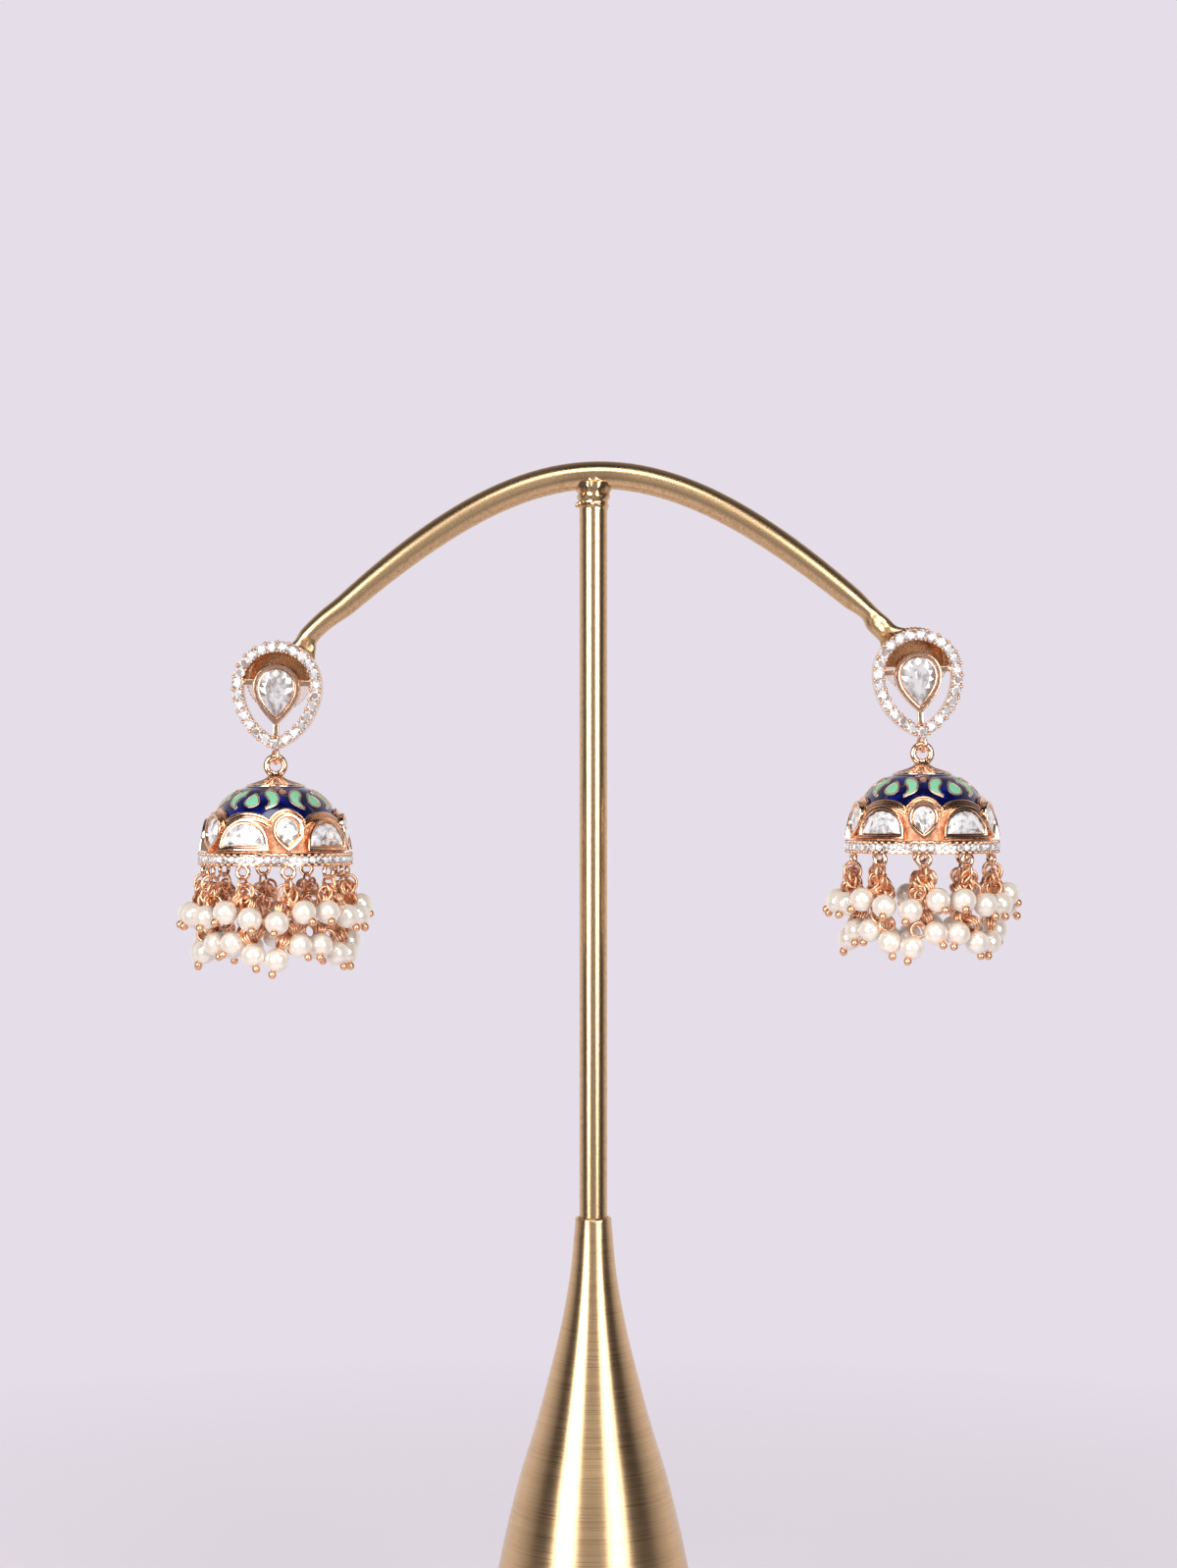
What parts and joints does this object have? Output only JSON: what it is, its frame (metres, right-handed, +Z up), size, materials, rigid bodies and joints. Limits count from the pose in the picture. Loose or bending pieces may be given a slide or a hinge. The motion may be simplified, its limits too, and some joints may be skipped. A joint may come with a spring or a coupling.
{
  "type": "pair of jhumka earrings on a display stand",
  "caption": "Pear-halo stud earrings with a hanging enamelled bell, set stones and a pearl fringe, both hung on a brushed brass stand with an arched arm.",
  "frame": {"origin": "centre of the stand's foot, on the table", "axes": "+Z up the post, +X to the right seen from the front, the earrings face -Y"},
  "size_m": [0.1193, 0.0337, 0.1862],
  "materials": {
    "brushed_brass": "finely brushed round the foot, satin on post and arm",
    "rose_gold": "polished rose-gold plating",
    "blue_enamel": "glossy royal blue enamel with mint motifs in gold outlines",
    "clear_stone": "cut and polished, foil backed",
    "set_stone": "clear cut stone in a polished rose-gold bezel",
    "clear_plastic": "frosted clear plastic",
    "cream_pearl": "cream pearl lustre, rose-gold wire and head pins"
  },
  "bodies": {
    "stand": {"stand_base": "brushed_brass", "stand_frame": "brushed_brass", "left_stud": "rose_gold", "left_centre_stone": "clear_stone", "left_clutch": "clear_plastic", "right_stud": "rose_gold", "right_centre_stone": "clear_stone", "right_clutch": "clear_plastic"},
    "left_drop": {"left_cap": "rose_gold", "left_dome": "blue_enamel", "left_band": "rose_gold", "left_pear_1": "set_stone", "left_half_moon_1": "set_stone", "left_pear_2": "set_stone", "left_half_moon_2": "set_stone", "left_pear_3": "set_stone", "left_half_moon_3": "set_stone", "left_pear_4": "set_stone", "left_half_moon_4": "set_stone", "left_pear_5": "set_stone", "left_half_moon_5": "set_stone", "left_fringe_1": "cream_pearl", "left_fringe_2": "cream_pearl", "left_fringe_3": "cream_pearl", "left_fringe_4": "cream_pearl", "left_fringe_5": "cream_pearl", "left_fringe_6": "cream_pearl", "left_fringe_7": "cream_pearl", "left_fringe_8": "cream_pearl", "left_fringe_9": "cream_pearl", "left_fringe_10": "cream_pearl"},
    "right_drop": {"right_cap": "rose_gold", "right_dome": "blue_enamel", "right_band": "rose_gold", "right_pear_1": "set_stone", "right_half_moon_1": "set_stone", "right_pear_2": "set_stone", "right_half_moon_2": "set_stone", "right_pear_3": "set_stone", "right_half_moon_3": "set_stone", "right_pear_4": "set_stone", "right_half_moon_4": "set_stone", "right_pear_5": "set_stone", "right_half_moon_5": "set_stone", "right_fringe_1": "cream_pearl", "right_fringe_2": "cream_pearl", "right_fringe_3": "cream_pearl", "right_fringe_4": "cream_pearl", "right_fringe_5": "cream_pearl", "right_fringe_6": "cream_pearl", "right_fringe_7": "cream_pearl", "right_fringe_8": "cream_pearl", "right_fringe_9": "cream_pearl", "right_fringe_10": "cream_pearl"}
  },
  "joints": [
    {"name": "left_drop_swing", "type": "hinge", "parent": "stand", "child": "left_drop", "pos_m": [-0.04515, -0.0039, 0.14259], "axis": [0, 1, 0], "range_deg": [-60, 60]},
    {"name": "right_drop_swing", "type": "hinge", "parent": "stand", "child": "right_drop", "pos_m": [0.0467, -0.0039, 0.14432], "axis": [0, 1, 0], "range_deg": [-60, 60]}
  ]
}
